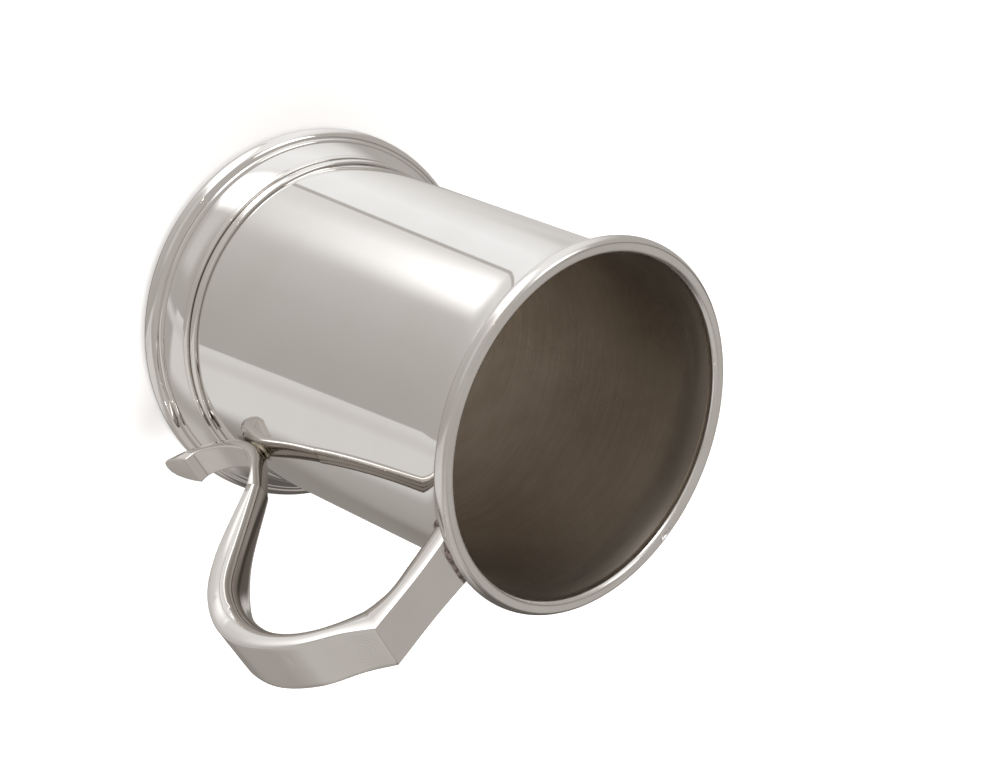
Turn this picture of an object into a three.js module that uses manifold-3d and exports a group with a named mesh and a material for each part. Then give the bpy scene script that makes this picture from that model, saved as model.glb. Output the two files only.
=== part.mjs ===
// Silver tankard: an open pint mug with a tapered barrel, a moulded foot and a hollow scroll handle.
// Millimetres, +Z up. The handle lies along +X, and the origin is under the middle of the whole outline.
import * as THREE from 'three';
import { mergeVertices } from 'three/addons/utils/BufferGeometryUtils.js';
import Module from 'manifold-3d';

const wasm = await Module();
wasm.setup();

// Driving dimensions: radii are from the barrel's axis, heights from the table
const HEIGHT = 120;            // table to the top of the lip
const SEAM = 0.25;             // solder joint between two pieces
const TURN_STEPS = 60;         // facets round a turned piece
const ARC_STEPS = 5;           // facets in a quarter of a moulding

const BARREL_WALL = 0.8;
const BARREL_FOOT_R = 48.5;    // outside, at the lower edge
const BARREL_FOOT_Z = 7;       // lower edge, hidden by the skirt
const NECK_R = 42;             // outside, where the mouth starts to flare
const NECK_DROP = 12;          // from the lip's top down to that place
const MOUTH_FLARE = 1.2;       // how far the mouth then spreads
const BASE_Z = 8.2;            // underside of the bottom plate at its edge
const BASE_SHEET = 0.9;
const BASE_DOME = 1.5;         // rise of the bottom plate's middle

const LIP_PROUD = 2.3;         // how far the lip wire stands out from the mouth
const LIP_WIRE = 3;            // its height
const LIP_ROUND = 1.1;         // half width of its rounded edge
const LIP_TURN = 1.31;         // quarter turns of that round, which then slopes down into the mouth
const LIP_NOSE = 0.6;          // how far its inner edge stands in from the barrel's wall
const LIP_NOSE_DROP = 1.7;     // that edge below the lip's top

const FOOT_SPREAD = 7.9;       // how far the foot reaches beyond the barrel's lower edge
const FOOT_WIRE_H = 5.4;
const FOOT_WIRE_W = 5;
const FOOT_LEDGE = 1.2;        // shelf under the skirt's flange
const REED_H = 0.9;            // thin reed on the wire's inner shoulder
const REED_W = 1.1;
const SKIRT_SHEET = 1;
const SKIRT_TOP_Z = 10.4;      // where the skirt closes on the barrel
const SKIRT_HOLLOW = 0.35;     // sag of the skirt's slope
const ASTRAGAL_H = 5.6;
const ASTRAGAL_PROUD = 1.5;    // how far its lower reed stands out

const STRAP = 1;               // flat straps that close the handle's back
const CHANNEL_WALL = 0.9;      // rounded inner half
const STRAP_DROP = 3.5;        // back of the handle below the lip's top, where they meet
const LIP_HALF = 7.2;          // half of the handle's width there
const LIP_DEPTH = 8;           // back to crown there
const END_TUCK = 5;            // how far in the handle runs before it is filed to the barrel
const RIDGE_OUT = 23;          // thumb ridge beyond the lip
const RIDGE_RISE = 1.1;        // thumb ridge above the lip's top
const RIDGE_HALF = 6.2;
const RIDGE_DEPTH = 9.6;
const RIDGE_LEAN = 2.6;        // crown lies this much nearer the barrel than the ridge
const BELLY_OUT = 43.7;        // furthest reach beyond the lip
const BELLY_DROP = 31;         // furthest reach below the lip's top
const BELLY_HALF = 7.1;
const BELLY_DEPTH = 7.4;
const LEG_OUT = 11.8;          // seam of leg and tail, off the barrel
const LEG_RISE = 14;           // that seam above the knuckle
const LEG_HALF = 3.7;
const LEG_DEPTH = 3.5;
const LEG_TILT = 47;           // degrees, the seam's section above level
const KNUCKLE_Z = 34.7;        // middle of the knuckle's seat on the barrel
const KNUCKLE_HALF = 3.7;
const KNUCKLE_DEPTH = 4.3;
const KNUCKLE_BITE = 0.7;      // how much the knuckle is filed to the barrel
const KNUCKLE_LEAN = 1;        // its back lies this much higher than its crown
const TAIL_OUT = 14;           // tail's end off the barrel, at its back
const TAIL_DROP = 12.4;        // tail's end below the knuckle, at its back
const TAIL_HALF = 4.4;
const TAIL_FACE = 10.8;        // height of the D-shaped end face
const TAIL_FACE_TILT = 71;     // degrees, the end face's slope
const TAIL_PLATE = 1;          // plate that closes the tail
const VENT_R = 0.8;            // air hole of the hollow handle
const VENT_UP = 9;             // from the seam up the leg

const SQUARENESS = 2.4;        // superellipse power of the rounded side
const SECTION_STEPS = 12;
const STRAP_STEPS = 5;
const LOOP_STEPS = 24;
const TAIL_STEPS = 16;
const VENT_STEPS = 12;
const KNOT_STEPS = 8;          // places between two knots where a rail is split
const MERGE = 1e-3;            // corners nearer than this are one

const MOUTH_R = NECK_R + MOUTH_FLARE;
const LIP_R = MOUTH_R + LIP_PROUD;
const FOOT_R = BARREL_FOOT_R + FOOT_SPREAD;
const AXIS_X = (FOOT_R - LIP_R - BELLY_OUT) / 2;
const SEAT_Z = HEIGHT - LIP_WIRE;
const NECK_Z = HEIGHT - NECK_DROP;

const polished = new THREE.MeshStandardMaterial({ color: 0xcfccc6, metalness: 1, roughness: 0.12 });
const satin = new THREE.MeshStandardMaterial({ color: 0xb4aea4, metalness: 1, roughness: 0.42 });
const cast = new THREE.MeshStandardMaterial({ color: 0xc4bfb8, metalness: 1, roughness: 0.18 });

// Turned pieces

const point = (r, z) => new THREE.Vector2(r, z);

// Outside radius of the barrel's straight taper
function barrelRadius(z) {
  const share = (z - BARREL_FOOT_Z) / (NECK_Z - BARREL_FOOT_Z);
  return THREE.MathUtils.lerp(BARREL_FOOT_R, NECK_R, share);
}

// Points of an ellipse's arc, from one angle to another in quarter turns
function arc(r, z, across, up, from, to) {
  const steps = Math.round(Math.abs(to - from) * ARC_STEPS);
  return Array.from({ length: steps + 1 }, (_, i) => {
    const angle = (from + ((to - from) * i) / steps) * Math.PI / 2;
    return point(r + across * Math.cos(angle), z + up * Math.sin(angle));
  });
}

// Revolves an outline listed anticlockwise, that is up the outside and down the inside
function turned(outline) {
  const closed = outline[0].x === 0 ? outline : [...outline, outline[0]];
  return new THREE.LatheGeometry(closed, TURN_STEPS).rotateX(Math.PI / 2);
}

// Outside of the barrel, bottom to top, moved outward by a clearance
function barrelOutside(clearance) {
  const flare = new THREE.QuadraticBezierCurve(
    point(NECK_R, NECK_Z),
    point(barrelRadius((NECK_Z + SEAT_Z) / 2), (NECK_Z + SEAT_Z) / 2),
    point(MOUTH_R, SEAT_Z),
  );
  return [point(BARREL_FOOT_R, BARREL_FOOT_Z), ...flare.getPoints(ARC_STEPS)]
    .map((p) => point(p.x + clearance, p.y));
}

function barrel() {
  return turned([...barrelOutside(0), ...barrelOutside(-BARREL_WALL).reverse()]);
}

// Rounded edge of the lip's wire, up the outside and over the top
function lipRound(clearance, turn) {
  const half = LIP_WIRE / 2;
  return arc(LIP_R - LIP_ROUND, HEIGHT - half, LIP_ROUND + clearance, half + clearance, -1, turn);
}

// Wire on the barrel's edge: flat below, round outside, then a slope that leads into the mouth
function lipWire() {
  const boreR = MOUTH_R - BARREL_WALL;
  const nose = point(boreR - LIP_NOSE, HEIGHT - LIP_NOSE_DROP);
  return turned([point(boreR, SEAT_Z), ...lipRound(0, LIP_TURN), nose]);
}

function bottomPlate() {
  const edge = barrelRadius(BASE_Z + BASE_SHEET) - BARREL_WALL - SEAM;
  const rise = (r) => BASE_Z + BASE_DOME * (1 - (r / edge) ** 2);
  const under = [0, 0.5, 0.8, 1].map((share) => point(share * edge, rise(share * edge)));
  const over = under.map((p) => point(p.x, p.y + BASE_SHEET)).reverse();
  return turned([...under, ...over]);
}

const skirtFootR = FOOT_R - FOOT_WIRE_W / 2 - REED_W - SEAM;
const skirtFootZ = FOOT_WIRE_H + REED_H;
const skirtTopR = barrelRadius(SKIRT_TOP_Z) + SEAM + SKIRT_SHEET;

// Spun band: collar round the barrel, sloping face and a flange inside the foot's wire
function skirt() {
  const slope = new THREE.QuadraticBezierCurve(
    point(skirtFootR, skirtFootZ),
    point((skirtFootR + skirtTopR) / 2 - SKIRT_HOLLOW, (skirtFootZ + SKIRT_TOP_Z) / 2 - SKIRT_HOLLOW),
    point(skirtTopR, SKIRT_TOP_Z),
  );
  const collarR = barrelRadius(BARREL_FOOT_Z) + SEAM;
  return turned([
    point(skirtFootR, FOOT_LEDGE),
    ...slope.getPoints(ARC_STEPS),
    point(skirtTopR - SKIRT_SHEET, SKIRT_TOP_Z),
    point(collarR, BARREL_FOOT_Z),
    point(skirtFootR - SKIRT_SHEET, skirtFootZ - SKIRT_SHEET),
    point(skirtFootR - SKIRT_SHEET, FOOT_LEDGE),
  ]);
}

// Heavy rounded wire with a flat land below and a thin reed on its shoulder
function footWire() {
  const middle = FOOT_R - FOOT_WIRE_W / 2;
  const boreR = skirtFootR + SEAM;
  const ledgeR = skirtFootR - SKIRT_SHEET;
  return turned([
    point(ledgeR, 0),
    ...arc(middle, FOOT_WIRE_H / 2, FOOT_WIRE_W / 2, FOOT_WIRE_H / 2, -1, 1),
    ...arc(boreR, FOOT_WIRE_H, REED_W, REED_H, 0, 1),
    point(boreR, FOOT_LEDGE),
    point(ledgeR, FOOT_LEDGE),
  ]);
}

// Double reed that covers the joint of skirt and barrel
function astragal() {
  const reed = ASTRAGAL_H / 4;
  const foot = SKIRT_TOP_Z;
  const top = foot + ASTRAGAL_H;
  const lowR = barrelRadius(foot) + SEAM;
  const topR = barrelRadius(top) + SEAM;
  const half = ASTRAGAL_PROUD / 2;
  return turned([
    point(lowR, foot),
    ...arc(lowR + half, foot + reed, half, reed, -1, 1),
    ...arc(topR + half / 2, top - reed, half, reed, -1, 1),
    point(topR, top),
  ]);
}

// Handle: a D section led along two rails, the edge of its flat back and the crown of its round side

const rail = (...points) => new THREE.CatmullRomCurve3(points);

// One smooth curve as two rails, which meet without a kink at a numbered knot
function splitRail(number, ...knots) {
  const run = rail(...knots).getPoints((knots.length - 1) * KNOT_STEPS);
  const end = number * KNOT_STEPS;
  return [rail(...run.slice(0, end + 1)), rail(...run.slice(end))];
}

const beyondLip = (out, half, drop) => new THREE.Vector3(LIP_R + out, half, HEIGHT - drop);

// A place off the barrel's side, measured up from the knuckle
function offBarrel(out, half, rise) {
  const z = KNUCKLE_Z + rise;
  return new THREE.Vector3(barrelRadius(z) + out, half, z);
}

// A place on the curve from one named place to the next, as shares of the way out, across and up
function between(a, b, out, across, up) {
  const { lerp } = THREE.MathUtils;
  return new THREE.Vector3(lerp(a.x, b.x, out), lerp(a.y, b.y, across), lerp(a.z, b.z, up));
}

// Crown that lies across a section from the middle of its back, at a slope in degrees
function crownOf(edge, depth, slope) {
  const angle = THREE.MathUtils.degToRad(slope);
  return new THREE.Vector3(edge.x + depth * Math.cos(angle), 0, edge.z + depth * Math.sin(angle));
}

const lipEdge = beyondLip(-END_TUCK, LIP_HALF, STRAP_DROP);
const lipCrown = beyondLip(-END_TUCK, 0, STRAP_DROP + LIP_DEPTH);
const ridgeEdge = beyondLip(RIDGE_OUT, RIDGE_HALF, -RIDGE_RISE);
const ridgeCrown = beyondLip(RIDGE_OUT - RIDGE_LEAN, 0, RIDGE_DEPTH - RIDGE_RISE);
const bellyEdge = beyondLip(BELLY_OUT, BELLY_HALF, BELLY_DROP);
const bellyCrown = beyondLip(BELLY_OUT - BELLY_DEPTH, 0, BELLY_DROP);
const seamEdge = offBarrel(LEG_OUT, LEG_HALF, LEG_RISE);
const seamCrown = crownOf(seamEdge, LEG_DEPTH, 180 - LEG_TILT);
const knuckleEdge = offBarrel(KNUCKLE_DEPTH - KNUCKLE_BITE, KNUCKLE_HALF, KNUCKLE_LEAN);
const knuckleCrown = offBarrel(-KNUCKLE_BITE, 0, 0);
const endEdge = offBarrel(TAIL_OUT, TAIL_HALF, -TAIL_DROP);
const endCrown = crownOf(endEdge, TAIL_FACE, -TAIL_FACE_TILT);

// The back has a corner at the thumb ridge, and the crown runs on under it
const [strapCrown, loopCrown] = splitRail(
  3,
  lipCrown,
  between(lipCrown, ridgeCrown, 0.457, 0, 0.9),
  between(lipCrown, ridgeCrown, 0.751, 0, 1.45),
  ridgeCrown,
  between(ridgeCrown, bellyCrown, 0.55, 0, 0.18),
  between(ridgeCrown, bellyCrown, 0.92, 0, 0.53),
  bellyCrown,
  between(bellyCrown, seamCrown, 0.08, 0, 0.25),
  between(bellyCrown, seamCrown, 0.35, 0, 0.54),
  seamCrown,
);

const strapRails = {
  edge: rail(lipEdge, between(lipEdge, ridgeEdge, 0.5, 1, 0.5), ridgeEdge),
  crown: strapCrown,
};

const loopRails = {
  edge: rail(
    ridgeEdge,
    between(ridgeEdge, bellyEdge, 0.24, 0.45, 0.165),
    between(ridgeEdge, bellyEdge, 0.645, 1.1, 0.393),
    between(ridgeEdge, bellyEdge, 0.933, 1.35, 0.689),
    bellyEdge,
    between(bellyEdge, seamEdge, 0.107, 0.035, 0.272),
    between(bellyEdge, seamEdge, 0.374, 0.55, 0.586),
    seamEdge,
  ),
  crown: loopCrown,
};

const tailRails = {
  edge: rail(
    seamEdge,
    between(seamEdge, knuckleEdge, 0.62, 0.5, 0.42),
    knuckleEdge,
    between(knuckleEdge, endEdge, 0.08, 0.3, 0.32),
    between(knuckleEdge, endEdge, 0.34, 0.6, 0.7),
    between(knuckleEdge, endEdge, 0.74, 0.85, 1.0),
    endEdge,
  ),
  crown: rail(
    seamCrown,
    between(seamCrown, knuckleCrown, 0.44, 0, 0.38),
    between(seamCrown, knuckleCrown, 0.83, 0, 0.72),
    knuckleCrown,
    between(knuckleCrown, endCrown, 0.06, 0, 0.27),
    between(knuckleCrown, endCrown, 0.25, 0, 0.54),
    between(knuckleCrown, endCrown, 0.58, 0, 0.79),
    endCrown,
  ),
};

// Stations along a pair of rails: middle of the back, way towards the crown, depth and half width
function stations(rails, steps, gap = 0) {
  const start = gap / rails.edge.getLength();
  return Array.from({ length: steps + 1 }, (_, i) => {
    const share = THREE.MathUtils.lerp(start, 1, i / steps);
    const edge = rails.edge.getPointAt(share);
    const crown = rails.crown.getPointAt(share);
    const back = new THREE.Vector3(edge.x, 0, edge.z);
    const inward = crown.clone().sub(back);
    return { back, inward: inward.clone().normalize(), depth: inward.length(), half: edge.y };
  });
}

// A place in a station's section: across the handle and below its back
function place(station, across, below) {
  return station.back.clone().addScaledVector(station.inward, below).setY(across);
}

// Sections list points as (across the handle, below its back)

// Rounded side, from one edge of the back over the crown to the other
function roundSide(station, top, wall) {
  const power = 2 / SQUARENESS;
  const half = station.half - wall;
  const deep = station.depth - top - wall;
  return Array.from({ length: SECTION_STEPS + 1 }, (_, i) => {
    const angle = (i / SECTION_STEPS - 0.5) * Math.PI;
    const across = Math.sign(angle) * half * Math.abs(Math.sin(angle)) ** power;
    const below = i % SECTION_STEPS === 0 ? 0 : deep * Math.cos(angle) ** power;
    return point(across, top + below);
  });
}

const solidSection = (station) => roundSide(station, 0, 0);

function channelSection(station) {
  const top = STRAP + SEAM;
  return [...roundSide(station, top, 0), ...roundSide(station, top, CHANNEL_WALL).reverse()];
}

function strapSection({ half }) {
  return [point(-half, 0), point(-half, STRAP), point(half, STRAP), point(half, 0)];
}

// Skins the sections along a row of stations and closes both ends
function loft(row, section) {
  const outlines = row.map(section);
  const count = outlines[0].length;
  const vertices = row.flatMap((station, i) => outlines[i].map((p) => place(station, p.x, p.y)));
  const index = [];
  for (let ring = 0; ring + 1 < row.length; ring += 1) {
    for (let i = 0; i < count; i += 1) {
      const a = ring * count + i;
      const b = ring * count + ((i + 1) % count);
      index.push(a, b, a + count, b, b + count, a + count);
    }
  }
  const last = vertices.length - count;
  THREE.ShapeUtils.triangulateShape(outlines[0], []).forEach(([a, b, c]) => index.push(a, b, c));
  THREE.ShapeUtils.triangulateShape(outlines[row.length - 1], [])
    .forEach(([a, b, c]) => index.push(last + a, last + c, last + b));
  return new THREE.BufferGeometry().setFromPoints(vertices).setIndex(index);
}

// Boolean cuts

function solid(geometry) {
  const bare = geometry.clone();
  bare.deleteAttribute('normal');
  bare.deleteAttribute('uv');
  const merged = mergeVertices(bare, MERGE);
  const corners = merged.index.array;
  const triangles = [];
  for (let i = 0; i < corners.length; i += 3) {
    const [a, b, c] = corners.slice(i, i + 3);
    if (a !== b && b !== c && c !== a) triangles.push(a, b, c);
  }
  return new wasm.Manifold(new wasm.Mesh({
    numProp: 3,
    vertProperties: merged.attributes.position.array,
    triVerts: Uint32Array.from(triangles),
  }));
}

function cut(geometry, ...tools) {
  const left = tools.reduce((body, tool) => body.subtract(solid(tool)), solid(geometry)).getMesh();
  const result = new THREE.BufferGeometry();
  result.setAttribute('position', new THREE.BufferAttribute(left.vertProperties, 3));
  return result.setIndex(new THREE.BufferAttribute(left.triVerts, 1));
}

// Filled shapes of barrel and lip, one seam larger, that the handle's ends are filed to
const barrelTool = turned([point(0, BARREL_FOOT_Z), ...barrelOutside(SEAM), point(0, SEAT_Z)]);
const lipTool = turned([point(0, SEAT_Z - SEAM), ...lipRound(SEAM, 1), point(0, HEIGHT + SEAM)]);

// Rounded inner half of the hollow handle, bent and mitred at the thumb ridge
function channel() {
  const row = [...stations(strapRails, STRAP_STEPS), ...stations(loopRails, LOOP_STEPS).slice(1)];
  return cut(loft(row, channelSection), barrelTool, lipTool);
}

// Flat strap from the lip to the thumb ridge
function thumbStrap() {
  return cut(loft(stations(strapRails, STRAP_STEPS), strapSection), barrelTool, lipTool);
}

// Flat strap round the loop, with the air hole low on the leg
function backStrap() {
  const ventShare = 1 - VENT_UP / loopRails.edge.getLength();
  const edge = loopRails.edge.getPointAt(ventShare);
  const inward = loopRails.crown.getPointAt(ventShare).setY(0).sub(edge.clone().setY(0)).normalize();
  const turn = new THREE.Quaternion().setFromUnitVectors(new THREE.Vector3(0, 1, 0), inward);
  const vent = new THREE.CylinderGeometry(VENT_R, VENT_R, STRAP * 4, VENT_STEPS).applyQuaternion(turn);
  vent.translate(edge.x, 0, edge.z);
  return cut(loft(stations(loopRails, LOOP_STEPS, SEAM), strapSection), vent);
}

// Last station of the tail, drawn back from the end face
function tailEnd(back) {
  const end = stations(tailRails, TAIL_STEPS).pop();
  const outward = new THREE.Vector3(-end.inward.z, 0, end.inward.x);
  return { ...end, back: end.back.clone().addScaledVector(outward, -back) };
}

// Solid casting: knuckle filed to the barrel, then the flicked tail
function tail() {
  const row = [...stations(tailRails, TAIL_STEPS, SEAM).slice(0, -1), tailEnd(TAIL_PLATE + SEAM)];
  return cut(loft(row, solidSection), barrelTool);
}

function tailPlate() {
  return loft([tailEnd(TAIL_PLATE), tailEnd(0)], solidSection);
}

// Assembly

const tankard = new THREE.Group();
tankard.position.x = AXIS_X;

function add(name, geometry, material) {
  const mesh = new THREE.Mesh(geometry, material);
  mesh.name = name;
  tankard.add(mesh);
}

add('barrel', barrel(), satin);
add('lip_wire', lipWire(), polished);
add('bottom_plate', bottomPlate(), satin);
add('foot_skirt', skirt(), polished);
add('foot_wire', footWire(), polished);
add('astragal', astragal(), polished);
add('handle_channel', channel(), polished);
add('thumb_strap', thumbStrap(), polished);
add('back_strap', backStrap(), polished);
add('tail', tail(), cast);
add('tail_plate', tailPlate(), cast);

export default tankard;
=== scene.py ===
import math

import bmesh
import bpy
from mathutils import Matrix, Vector
from mathutils.noise import noise


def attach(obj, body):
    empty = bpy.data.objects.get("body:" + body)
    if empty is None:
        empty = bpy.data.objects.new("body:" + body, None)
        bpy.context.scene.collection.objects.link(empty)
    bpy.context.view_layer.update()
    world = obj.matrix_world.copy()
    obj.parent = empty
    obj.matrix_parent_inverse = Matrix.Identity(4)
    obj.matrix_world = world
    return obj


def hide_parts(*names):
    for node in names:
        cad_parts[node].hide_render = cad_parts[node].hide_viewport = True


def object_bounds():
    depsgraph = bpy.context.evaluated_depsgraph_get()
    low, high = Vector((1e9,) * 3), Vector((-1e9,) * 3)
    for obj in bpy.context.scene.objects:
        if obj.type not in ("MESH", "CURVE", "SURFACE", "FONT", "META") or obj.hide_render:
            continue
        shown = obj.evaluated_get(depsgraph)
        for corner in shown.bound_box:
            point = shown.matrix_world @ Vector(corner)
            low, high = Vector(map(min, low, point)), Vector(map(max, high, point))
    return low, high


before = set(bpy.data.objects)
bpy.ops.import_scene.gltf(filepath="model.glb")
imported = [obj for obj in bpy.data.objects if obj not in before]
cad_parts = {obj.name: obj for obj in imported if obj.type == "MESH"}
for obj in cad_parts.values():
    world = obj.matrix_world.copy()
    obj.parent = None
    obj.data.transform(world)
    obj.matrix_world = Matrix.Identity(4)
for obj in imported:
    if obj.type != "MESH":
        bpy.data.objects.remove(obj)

cad_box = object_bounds()

# Silver tankard: turned skins, a smooth scroll handle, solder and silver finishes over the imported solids.
# Sizes are millimetres from the barrel's axis and the table, as in the part's source.
MM = 0.001
HEIGHT = 120.0
AXIS_X = -16.4
TURN_STEPS = 288
ARC_STEPS = 12
HAIRLINE = 0.04                # what is left of a joint after soldering and polishing
CREASE = math.radians(32)      # edges sharper than this stay sharp
SAME_PLACE = 1e-4              # corners nearer than this are one corner

BARREL_WALL = 0.8
BARREL_FOOT_R = 48.5
BARREL_FOOT_Z = 7.0
NECK_R = 42.0
NECK_Z = HEIGHT - 12.0
MOUTH_R = NECK_R + 1.2
FLARE_STEPS = 16
BARREL_STEPS = 40
BASE_Z = 8.2
BASE_SHEET = 0.9
BASE_DOME = 1.5
BASE_STEPS = 24

LIP_R = MOUTH_R + 2.3
LIP_WIRE = 3.0
LIP_OUT = 1.7                  # from the lip's crest out to its edge
LIP_IN = 2.2                   # and in to the mouth
LIP_RISE = 2.0                 # from the widest part up to the crest
LIP_FULL = 0.8                 # below 1, its inner side is fuller than an ellipse
LIP_START = -1 / 3             # quarter turns below the widest part where the round leaves its seat
LIP_TUCK_OUT = 0.2             # the inner side ends this far out
LIP_TUCK_UP = 0.4              # and this far above the seat
LIP_CREST_R = LIP_R - LIP_OUT
LIP_WIDEST_Z = HEIGHT - LIP_RISE
SEAT_Z = HEIGHT - LIP_WIRE
NICK_TURN = 99.5               # degrees round to a nick just inside the lip's crest
NICK_IN = 0.3
NICK_REACH = 2.3
NICK_WIDTH = 0.65
NICK_DEPTH = 1.2
WORN_CREST = range(-78, -43, 4)   # degrees along which the crest is worn
CREST_OUT = 0.1
CREST_REACH = 2.6
CREST_WIDTH = 0.42
CREST_DEPTH = 0.2

FOOT_R = BARREL_FOOT_R + 7.9
FOOT_WIRE_H = 5.4
FOOT_WIRE_W = 5.0
FOOT_LEDGE = 1.2
REED_H = 0.9
REED_W = 1.1
SKIRT_SHEET = 1.0
SKIRT_TOP_Z = 10.4
SKIRT_HOLLOW = 0.35
ASTRAGAL_H = 5.6
ASTRAGAL_PROUD = 1.5

STRAP_DROP = 3.5
LIP_HALF = 7.2
LIP_DEPTH = 8.0
END_TUCK = 5.0
RIDGE_OUT = 23.0
RIDGE_RISE = 1.1
RIDGE_HALF = 6.2
RIDGE_DEPTH = 9.6
RIDGE_LEAN = 2.6
BELLY_OUT = 43.7
BELLY_DROP = 31.0
BELLY_HALF = 7.1
BELLY_DEPTH = 7.4
LEG_OUT = 11.8
LEG_RISE = 14.0
LEG_HALF = 3.7
LEG_DEPTH = 3.5
LEG_TILT = 47.0
KNUCKLE_Z = 34.7
KNUCKLE_HALF = 3.7
KNUCKLE_DEPTH = 4.3
KNUCKLE_BITE = 0.7
KNUCKLE_LEAN = 1.0
TAIL_OUT = 14.0
TAIL_DROP = 12.4
TAIL_HALF = 4.4
TAIL_FACE = 10.8
TAIL_FACE_TILT = 71.0
BACK_SIDE = 1.25               # straight side of the hollow handle, behind its rounded half
SQUARENESS = 2.4
SECTION_STEPS = 40
BACK_STEPS = 10
STRAP_STEPS = 36
LOOP_STEPS = 240
TAIL_STEPS = 90
END_ROWS = 3                   # stations that lie inside the wall at the lip end
KNOT_STEPS = 40
EDGE_WEAR = 0.22               # polish has rounded the handle's creases this much
WEAR_STEPS = 3
# Small worn hollows along the leg and the back
WORN = ((83.9, -6.3, 84.0), (86.3, -7.0, 88.6), (84.4, -7.0, 78.5), (83.3, -2.7, 106.5))
WORN_REACH = 1.4
WORN_WIDTH = 0.9
WORN_DEPTH = 0.07
VENT_R = 0.8
VENT_UP = 9.0
VENT_DEPTH = 2.4
VENT_SIDES = 24

LIP_BEAD = 0.75                # solder's radius at the lip
LIP_LUMPS = 0.5                # share by which it varies
KNUCKLE_BEAD = 0.6
KNUCKLE_LUMPS = 0.7
KNUCKLE_SEAT_UP = 0.3          # middle of the knuckle's seat, above the knuckle
KNUCKLE_SEAT_TALL = 3.6        # its half height
KNUCKLE_SEAT_WIDE = 2.3        # its half width
SEAT_STEPS = 48
LUMP_PACE = 0.9                # lumps of solder to a millimetre
BEAD_STEPS = 3


# Shader nodes

def node(tree, kind, values=None, **settings):
    made = tree.nodes.new(kind)
    for key, value in settings.items():
        setattr(made, key, value)
    for socket, value in (values or {}).items():
        if isinstance(value, bpy.types.NodeSocket):
            tree.links.new(value, made.inputs[socket])
        else:
            made.inputs[socket].default_value = value
    return made


def new_material(name):
    material = bpy.data.materials.new(name)
    material.use_nodes = True
    tree = material.node_tree
    place = node(tree, "ShaderNodeTexCoord").outputs["Object"]
    metal = tree.nodes["Principled BSDF"]
    metal.inputs["Metallic"].default_value = 1.0
    return material, tree, metal, place


def cloud(tree, place, scale, detail=3.0, rough=0.55):
    values = {"Vector": place, "Scale": scale, "Detail": detail, "Roughness": rough}
    return node(tree, "ShaderNodeTexNoise", values).outputs["Fac"]


def spread(tree, value, low, high, to_low, to_high):
    made = node(
        tree, "ShaderNodeMapRange",
        {"Value": value, "From Min": low, "From Max": high, "To Min": to_low, "To Max": to_high},
        interpolation_type="SMOOTHSTEP",
    )
    return made.outputs["Result"]


def math_node(tree, operation, a, b=0.0):
    return node(tree, "ShaderNodeMath", {0: a, 1: b}, operation=operation).outputs["Value"]


# Sockets of a colour mix
SHARE, FIRST, SECOND, MIXED = 0, 6, 7, 2


def mixed(tree, share, first, second, **settings):
    """Mix of two colours, each a socket or red, green and blue"""
    sources = {SHARE: share}
    for socket, colour in ((FIRST, first), (SECOND, second)):
        sources[socket] = (*colour, 1) if isinstance(colour, tuple) else colour
    return node(tree, "ShaderNodeMix", sources, data_type="RGBA", **settings).outputs[MIXED]


def hairlines(tree, place, turn, along, across, low, high):
    """Sparse fine scratches that run one way"""
    laid = node(
        tree, "ShaderNodeMapping",
        {"Vector": place, "Rotation": turn, "Scale": (along, across, across)},
    )
    return spread(tree, cloud(tree, laid.outputs["Vector"], 1.0, 2.0), low, high, 0.0, 1.0)


def bump(tree, height, distance, strength, below=None):
    """Relief with a depth in millimetres"""
    values = {"Height": height, "Distance": distance * MM, "Strength": strength}
    if below is not None:
        values["Normal"] = below
    return node(tree, "ShaderNodeBump", values).outputs["Normal"]


def ripples(tree, place):
    """Rings about one place, fading outward"""
    middle = Vector(RIPPLES) + Vector((AXIS_X, 0, 0))
    moved = node(tree, "ShaderNodeMapping", {"Vector": place, "Location": tuple(-middle * MM)})
    from_middle = {"Vector": moved.outputs["Vector"]}
    out = node(tree, "ShaderNodeVectorMath", from_middle, operation="LENGTH").outputs["Value"]
    rings = math_node(tree, "SINE", math_node(tree, "MULTIPLY", out, math.tau / RIPPLE_PITCH / MM))
    strong = spread(tree, out, RIPPLE_STRONG * MM, RIPPLE_REACH * MM, 1.0, 0.0)
    return math_node(tree, "MULTIPLY", rings, strong)


# Finishes

GROOVE_SHADE_REACH = 1.6                  # reach of the painted shade and tarnish that darken grooves
LIP_SHADE_FROM = 105.0              # height inside the barrel where painted shade starts, darker towards the lip
SIDE_SHADE_FROM = 70.0              # height where a thinner painted shade starts on the sides
SIDE_SHADE_FULL = 100.0
SIDE_SHADE = 0.75                   # share of the lip's painted shade that the side shade has
UNSHADED_TURN = 115                   # degrees round to where the side shade is absent, as it is opposite
RIPPLES = (72.3, 0.0, 116.9)   # faint rings of a planishing hammer, on the back beside the thumb ridge
RIPPLE_STRONG = 3.2
RIPPLE_REACH = 8.0
RIPPLE_PITCH = 1.0
RIPPLE_DEPTH = 0.004
SCRATCH_DEPTH = 0.004
BRUSHED_DEPTH = 0.03
SCORE_DEPTH = 0.02
LUMP_DEPTH = 0.2
BARREL_SIDE_SHADE = (0.42, 0.385, 0.35)  # painted shade: colour of the side that faces the barrel
BARREL_SIDE_SLOPES = (-0.85, -0.25)        # outward slopes where that painted shade is full and where it ends
GROOVE_OPEN_AIR = (0.35, 0.8)          # shares of open air where the painted shade and tarnish in grooves are full and where they end
# Patterns in the metal, by how many there are to a metre
FILM_PACE = 45.0
WIPE_PACE = 120.0
WAVE_PACE = 24.0
PATCH_PACE = 38.0
RING_PACE = 900.0
GRAIN_PACE = 700.0
# What shows of a pattern: levels where it starts and where it is full
CLOUDY = (0.35, 0.75)
LUMPY = (0.3, 0.7)
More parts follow.
